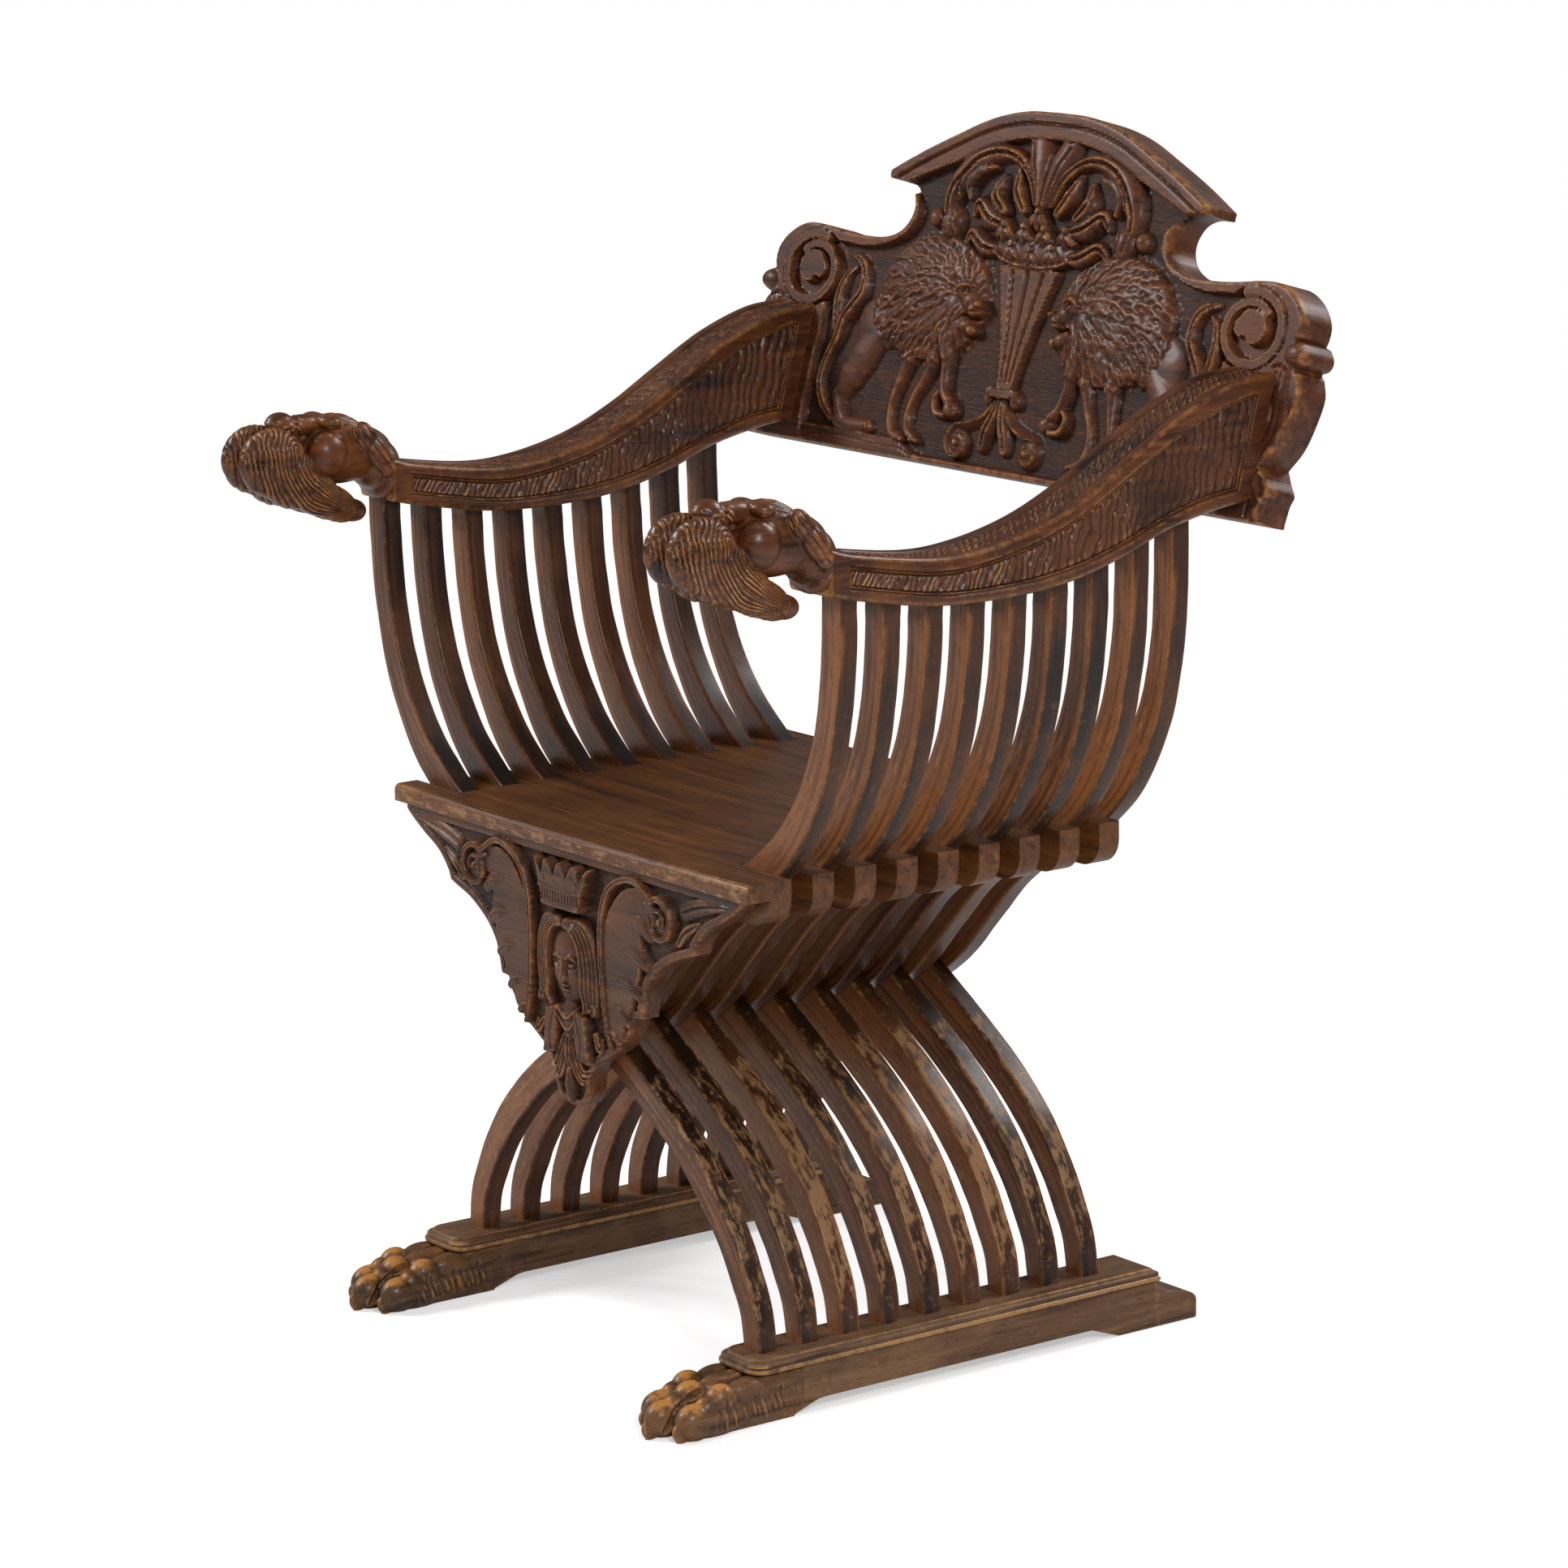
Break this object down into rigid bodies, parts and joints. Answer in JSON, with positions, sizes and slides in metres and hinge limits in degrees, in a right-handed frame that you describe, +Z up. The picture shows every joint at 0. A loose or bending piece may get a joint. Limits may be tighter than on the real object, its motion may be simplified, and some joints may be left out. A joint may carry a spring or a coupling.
{
  "type": "folding armchair",
  "caption": "Carved walnut X-frame armchair of crossed curved slats, with lion-head arms, a seat that lifts as the frame folds and a lift-off carved back.",
  "frame": {"origin": "on the floor, in the middle of the chair's plan", "axes": "+X towards the sitter's left, -Y to the front, +Z up"},
  "size_m": [0.71, 0.6533, 0.9614],
  "materials": {
    "slat_walnut": "waxed, worn edges",
    "carved_walnut": "dark stained and waxed carving",
    "seat_walnut": "rubbed wax",
    "back_walnut": "waxed, paler at the rear",
    "plug_wood": "end grain, dark",
    "rod_iron": "dull wrought rod"
  },
  "bodies": {
    "frame_left_arm": {"slat_left_1": "slat_walnut", "slat_left_2": "slat_walnut", "slat_left_3": "slat_walnut", "slat_left_4": "slat_walnut", "slat_left_5": "slat_walnut", "slat_left_6": "slat_walnut", "slat_left_7": "slat_walnut", "slat_left_8": "slat_walnut", "slat_left_9": "slat_walnut", "arm_left": "carved_walnut", "seat_rod_left": "rod_iron", "cap_right": "carved_walnut", "runner_right": "carved_walnut", "paw_pad_right": "carved_walnut", "heel_pad_right": "carved_walnut", "pivot_rod": "rod_iron", "pivot_plug_rear": "plug_wood"},
    "frame_right_arm": {"slat_right_1": "slat_walnut", "slat_right_2": "slat_walnut", "slat_right_3": "slat_walnut", "slat_right_4": "slat_walnut", "slat_right_5": "slat_walnut", "slat_right_6": "slat_walnut", "slat_right_7": "slat_walnut", "slat_right_8": "slat_walnut", "slat_right_9": "slat_walnut", "arm_right": "carved_walnut", "seat_rod_right": "rod_iron", "cap_left": "carved_walnut", "runner_left": "carved_walnut", "paw_pad_left": "carved_walnut", "heel_pad_left": "carved_walnut", "pivot_plug_front": "plug_wood"},
    "seat": {"seat_board": "seat_walnut", "apron": "carved_walnut", "apron_dowels": "plug_wood"},
    "back": {"back_panel": "back_walnut", "back_pegs_left": "plug_wood", "back_pegs_right": "plug_wood"}
  },
  "joints": [
    {"name": "frame_fold", "type": "hinge", "parent": "frame_left_arm", "child": "frame_right_arm", "pos_m": [0, 0, 0.267], "axis": [0, 1, 0], "range_deg": [0, 20]},
    {"name": "seat_lift", "type": "hinge", "parent": "frame_left_arm", "child": "seat", "pos_m": [0.196, 0, 0.418], "axis": [0, 1, 0], "range_deg": [0, 60]},
    {"name": "back_off", "type": "slide", "parent": "frame_left_arm", "child": "back", "axis": [0, 0.9613, -0.2756], "range_m": [0, 0.06]}
  ],
  "couplings": [
    {"joint": "seat_lift", "follows": "frame_fold", "ratio": 3}
  ]
}
